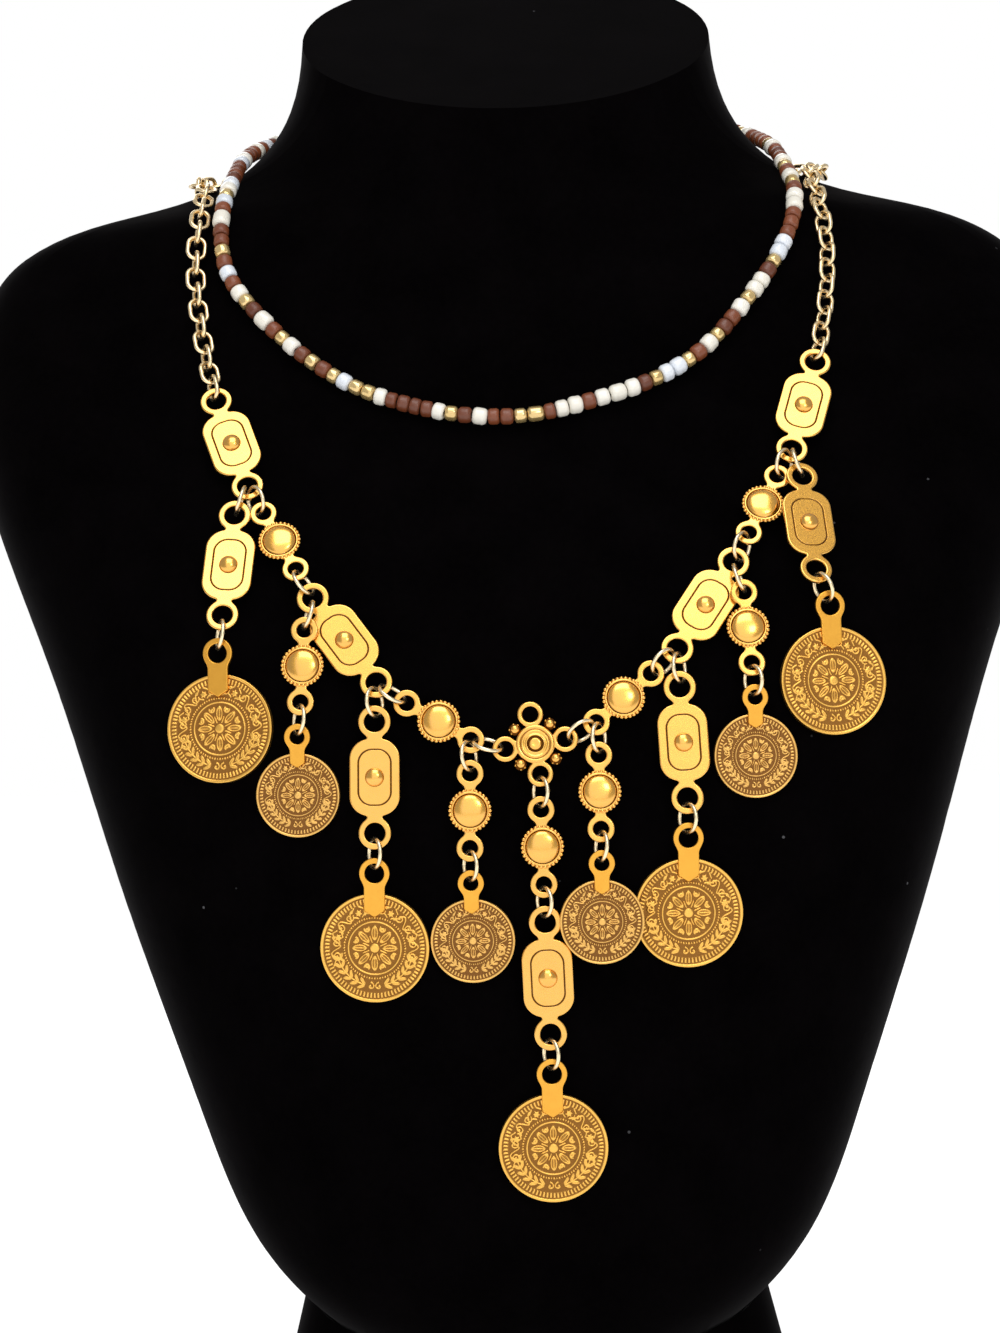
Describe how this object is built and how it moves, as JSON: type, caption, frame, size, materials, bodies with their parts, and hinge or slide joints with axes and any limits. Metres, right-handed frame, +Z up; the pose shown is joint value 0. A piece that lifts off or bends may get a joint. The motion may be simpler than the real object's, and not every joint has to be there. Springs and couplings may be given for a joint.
{
  "type": "coin necklace on a display bust",
  "caption": "Gold collar of oval plates and domed discs with hanging coins, on chains, and a strand of seed beads, laid over a plain black velvet display bust.",
  "frame": {"origin": "middle of the foot's underside, on the floor", "axes": "+Z up, the front of the bust faces -Y, the necklace's left as seen in the picture is -X"},
  "size_m": [0.254, 0.1543, 0.3423],
  "materials": {
    "velvet": "black velvet",
    "bright_gold": "polished",
    "antique_gold": "struck, dark in the recesses",
    "pale_gold": "polished",
    "seed_beads": "glossy, mixed colours"
  },
  "bodies": {
    "root": {"bead_strand": "seed_beads", "bust": "velvet", "bust_foot": "velvet", "centre_drop_coin": "antique_gold", "centre_drop_plate": "bright_gold", "centre_drop_round": "bright_gold", "centre_jump_rings": "pale_gold", "chain_left": "pale_gold", "chain_right": "pale_gold", "clasp": "pale_gold", "hub": "bright_gold", "left_collar_plate_1": "bright_gold", "left_collar_plate_2": "bright_gold", "left_collar_round_1": "bright_gold", "left_collar_round_2": "bright_gold", "left_drop_1_coin": "antique_gold", "left_drop_1_round": "bright_gold", "left_drop_2_coin": "antique_gold", "left_drop_2_plate": "bright_gold", "left_drop_3_coin": "antique_gold", "left_drop_3_round": "bright_gold", "left_drop_4_coin": "antique_gold", "left_drop_4_plate": "bright_gold", "left_jump_rings": "pale_gold", "right_collar_plate_1": "bright_gold", "right_collar_plate_2": "bright_gold", "right_collar_round_1": "bright_gold", "right_collar_round_2": "bright_gold", "right_drop_1_coin": "antique_gold", "right_drop_1_round": "bright_gold", "right_drop_2_coin": "antique_gold", "right_drop_2_plate": "bright_gold", "right_drop_3_coin": "antique_gold", "right_drop_3_round": "bright_gold", "right_drop_4_coin": "antique_gold", "right_drop_4_plate": "bright_gold", "right_jump_rings": "pale_gold", "strand_end_left": "pale_gold", "strand_end_right": "pale_gold"}
  },
  "joints": []
}
